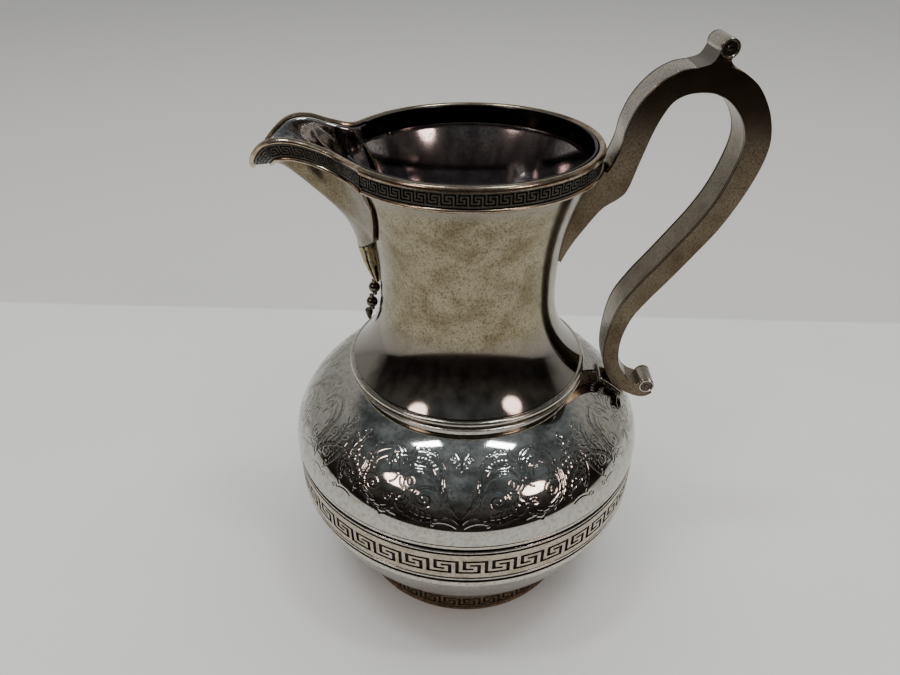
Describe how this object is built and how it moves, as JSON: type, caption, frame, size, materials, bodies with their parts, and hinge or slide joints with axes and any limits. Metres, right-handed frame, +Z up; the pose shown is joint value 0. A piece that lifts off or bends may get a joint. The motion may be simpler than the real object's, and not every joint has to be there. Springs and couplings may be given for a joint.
{
  "type": "water pitcher",
  "caption": "Round-bellied silver water pitcher with a flared neck, an open spout over a fluted pendant, key-pattern bands and a scrolled box-section handle.",
  "frame": {"origin": "on the table under the middle of the pitcher's bounding box", "axes": "+Z up, -X towards the spout, +X towards the handle; y = 0 is the mirror plane. The turned axis of foot, belly and neck is parallel to Z, 13.2 mm towards the spout."},
  "size_m": [0.2291, 0.193, 0.2986],
  "materials": {
    "polished_silver": "polished, slightly worn",
    "satin_silver": "satin, mottled with yellow-brown tarnish",
    "bright_edge": "rubbed bright on the high lines",
    "key_pattern_silver": "bright raised bars over blackened recesses",
    "oxidised_silver": "nearly black with dull raised lines",
    "brown_tarnish": "dark brown tarnish",
    "handle_silver": "brushed, brown-grey tarnish"
  },
  "bodies": {
    "root": {"foot_wire": "brown_tarnish", "foot_key_band": "brown_tarnish", "foot_collar": "brown_tarnish", "bowl": "polished_silver", "belly_wall": "polished_silver", "lower_reed": "bright_edge", "lower_fillet": "bright_edge", "key_band": "key_pattern_silver", "upper_fillet": "bright_edge", "upper_reed": "bright_edge", "shoulder": "polished_silver", "neck_fillet": "bright_edge", "neck_ring": "bright_edge", "neck": "satin_silver", "rim_lower_wire": "bright_edge", "rim_key_band": "oxidised_silver", "rim_top_wire": "bright_edge", "rim_liner": "oxidised_silver", "spout_shell": "satin_silver", "spout_key_band": "oxidised_silver", "spout_lower_wire": "bright_edge", "spout_lip_wire": "bright_edge", "spout_drop": "satin_silver", "drop_bead_upper": "polished_silver", "drop_bead_lower": "polished_silver", "drop_tip": "polished_silver", "handle_plate_near": "handle_silver", "handle_plate_far": "handle_silver", "handle_front_strip": "handle_silver", "handle_back_strip": "handle_silver", "handle_inner_strip": "handle_silver", "top_scroll": "handle_silver", "top_scroll_cap_near": "handle_silver", "top_scroll_cap_far": "handle_silver", "lower_scroll": "handle_silver", "lower_scroll_cap_near": "handle_silver", "lower_scroll_cap_far": "handle_silver", "handle_seat": "bright_edge"}
  },
  "joints": []
}
